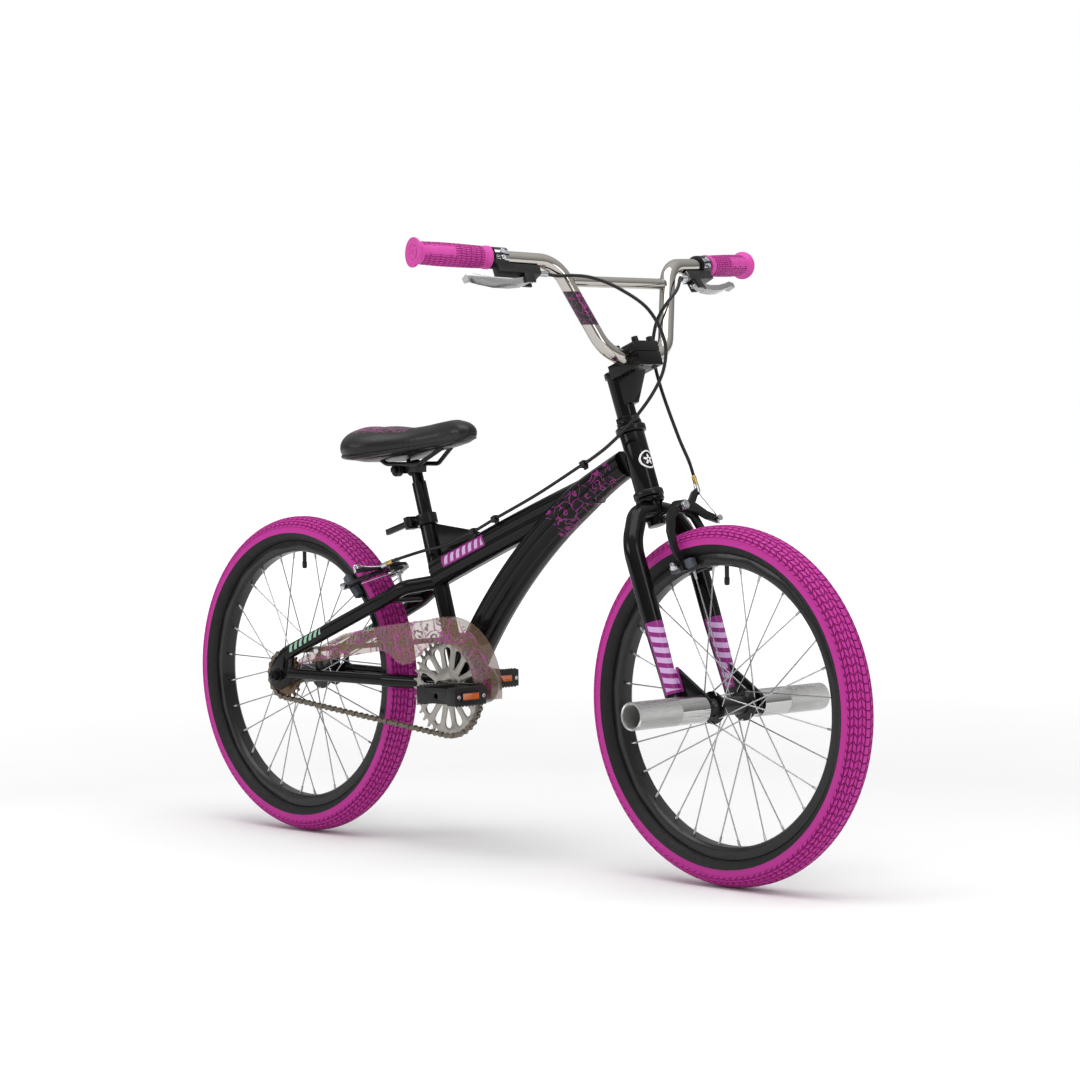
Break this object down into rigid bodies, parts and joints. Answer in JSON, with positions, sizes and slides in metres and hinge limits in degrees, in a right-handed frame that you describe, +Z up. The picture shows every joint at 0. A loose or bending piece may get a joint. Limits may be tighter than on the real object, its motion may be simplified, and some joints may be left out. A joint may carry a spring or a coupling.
{
  "type": "bmx bike",
  "caption": "Child's sidewalk bmx bike with hydroformed frame, rise handlebar, side-pull brakes, one-piece crank, chain guard, front pegs and knobbly coloured tyres.",
  "frame": {"origin": "on the floor, midway between the two wheel axles, in the bike's centre plane", "axes": "+X forward, +Y to the rider's left, +Z up"},
  "size_m": [1.422, 0.6848, 0.9069],
  "materials": {
    "frame_paint": "gloss",
    "black_steel": "satin",
    "bright_steel": "polished",
    "guard_plastic": "translucent",
    "cable_housing": "satin",
    "black_plastic": "moulded",
    "chain_steel": "oiled",
    "brown_steel": "oiled",
    "saddle_vinyl": "soft",
    "bar_chrome": "polished",
    "grip_rubber": "moulded",
    "lever_alloy": "polished",
    "tyre_rubber": "matte",
    "tube_rubber": "matte",
    "rim_paint": "satin",
    "spoke_steel": "bright",
    "ring_steel": "plain"
  },
  "bodies": {
    "frame": {"head_tube": "frame_paint", "down_tube": "frame_paint", "top_tube": "frame_paint", "seat_tube": "frame_paint", "bottom_bracket": "frame_paint", "chain_stays": "frame_paint", "seat_stays": "frame_paint", "rear_dropouts": "frame_paint", "headset_cups": "black_steel", "bracket_cups": "bright_steel", "bearing_balls": "bright_steel", "seat_clamp": "black_steel", "chain_guard": "guard_plastic", "guard_screws": "bright_steel", "rear_axle": "black_steel", "rear_cable": "cable_housing", "cable_clips": "black_plastic", "rear_brake_bolt": "bright_steel", "chain": "chain_steel"},
    "seat_post": {"seat_post": "black_steel", "saddle_clamp": "black_steel"},
    "saddle": {"saddle_cover": "saddle_vinyl", "saddle_base": "black_plastic", "saddle_rails": "black_steel"},
    "clamp_lever": {"clamp_lever": "black_steel"},
    "steering": {"fork_steerer": "frame_paint", "fork_legs": "frame_paint", "headset_nuts": "black_steel", "stem": "black_steel", "stem_cap": "black_steel", "stem_bolts": "bright_steel", "handlebar": "bar_chrome", "grips": "grip_rubber", "lever_mounts": "black_plastic", "front_axle": "black_steel", "front_pegs": "bar_chrome", "front_brake_bolt": "bright_steel", "front_cable": "cable_housing", "cable_loop": "cable_housing"},
    "left_lever": {"left_brake_lever": "lever_alloy"},
    "right_lever": {"right_brake_lever": "lever_alloy"},
    "front_wheel": {"front_tyre": "tyre_rubber", "front_tube": "tube_rubber", "front_rim": "rim_paint", "front_spokes": "spoke_steel", "front_hub": "rim_paint"},
    "rear_wheel": {"rear_tyre": "tyre_rubber", "rear_tube": "tube_rubber", "rear_rim": "rim_paint", "rear_spokes": "spoke_steel", "rear_hub": "rim_paint"},
    "freewheel": {"freewheel": "brown_steel"},
    "crank": {"crank": "black_steel", "chainring": "ring_steel"},
    "left_pedal": {"left_pedal": "black_plastic"},
    "right_pedal": {"right_pedal": "black_plastic"},
    "front_clamp_arm": {"front_clamp_arm": "black_steel"},
    "front_stop_arm": {"front_stop_arm": "black_steel"},
    "rear_clamp_arm": {"rear_clamp_arm": "black_steel"},
    "rear_stop_arm": {"rear_stop_arm": "black_steel"}
  },
  "joints": [
    {"name": "steering", "type": "hinge", "parent": "frame", "child": "steering", "pos_m": [0.29205, 0, 0.59199], "axis": [-0.342, 0, 0.9397], "range_deg": [-70, 70], "deforming": ["cable_loop"]},
    {"name": "front_wheel_spin", "type": "hinge", "parent": "steering", "child": "front_wheel", "pos_m": [0.458, 0, 0.253], "axis": [0, 1, 0], "continuous": true},
    {"name": "rear_wheel_spin", "type": "hinge", "parent": "frame", "child": "rear_wheel", "pos_m": [-0.458, 0, 0.253], "axis": [0, 1, 0], "continuous": true},
    {"name": "crank_spin", "type": "hinge", "parent": "frame", "child": "crank", "pos_m": [-0.0724, 0, 0.253], "axis": [0, 1, 0], "continuous": true, "deforming": ["chain"]},
    {"name": "freewheel_spin", "type": "hinge", "parent": "frame", "child": "freewheel", "pos_m": [-0.458, 0, 0.253], "axis": [0, 1, 0], "continuous": true},
    {"name": "right_pedal_spin", "type": "hinge", "parent": "crank", "child": "right_pedal", "pos_m": [0.0196, -0.121, 0.253], "axis": [0, 1, 0], "continuous": true},
    {"name": "left_pedal_spin", "type": "hinge", "parent": "crank", "child": "left_pedal", "pos_m": [-0.1644, 0.121, 0.253], "axis": [0, 1, 0], "continuous": true},
    {"name": "left_lever_pull", "type": "hinge", "parent": "steering", "child": "left_lever", "pos_m": [0.24531, 0.17196, 0.84959], "axis": [0.851, 0.1806, 0.4932], "range_deg": [0, 9], "stiffness_Nm_per_rad": 1, "springref_deg": -17.19},
    {"name": "right_lever_pull", "type": "hinge", "parent": "steering", "child": "right_lever", "pos_m": [0.24531, -0.17196, 0.84959], "axis": [-0.851, 0.1806, -0.4932], "range_deg": [0, 9], "stiffness_Nm_per_rad": 1, "springref_deg": -17.19},
    {"name": "front_clamp_arm_turn", "type": "hinge", "parent": "steering", "child": "front_clamp_arm", "pos_m": [0.36469, 0, 0.5269], "axis": [0.9397, 0, 0.342], "range_deg": [0, 1.32]},
    {"name": "front_stop_arm_turn", "type": "hinge", "parent": "steering", "child": "front_stop_arm", "pos_m": [0.36469, 0, 0.5269], "axis": [-0.9397, 0, -0.342], "range_deg": [0, 1.32]},
    {"name": "rear_clamp_arm_turn", "type": "hinge", "parent": "frame", "child": "rear_clamp_arm", "pos_m": [-0.232, 0, 0.424], "axis": [-0.3256, 0, 0.9455], "range_deg": [0, 1.32]},
    {"name": "rear_stop_arm_turn", "type": "hinge", "parent": "frame", "child": "rear_stop_arm", "pos_m": [-0.232, 0, 0.424], "axis": [0.3256, 0, -0.9455], "range_deg": [0, 1.32]},
    {"name": "seat_post_slide", "type": "slide", "parent": "frame", "child": "seat_post", "axis": [-0.2865, 0, 0.9581], "range_m": [-0.04, 0.06]},
    {"name": "saddle_tilt", "type": "hinge", "parent": "seat_post", "child": "saddle", "pos_m": [-0.21153, 0, 0.5805], "axis": [0, 1, 0], "range_deg": [-8, 8]},
    {"name": "clamp_lever_swing", "type": "hinge", "parent": "frame", "child": "clamp_lever", "pos_m": [-0.18071, -0.022, 0.49886], "axis": [-0.2865, 0, 0.9581], "range_deg": [0, 110]}
  ],
  "couplings": [
    {"joint": "freewheel_spin", "follows": "crank_spin", "ratio": 2},
    {"joint": "front_clamp_arm_turn", "follows": "left_lever_pull", "ratio": 0.14444},
    {"joint": "front_stop_arm_turn", "follows": "left_lever_pull", "ratio": 0.14444},
    {"joint": "rear_clamp_arm_turn", "follows": "right_lever_pull", "ratio": 0.14444},
    {"joint": "rear_stop_arm_turn", "follows": "right_lever_pull", "ratio": 0.14444}
  ]
}
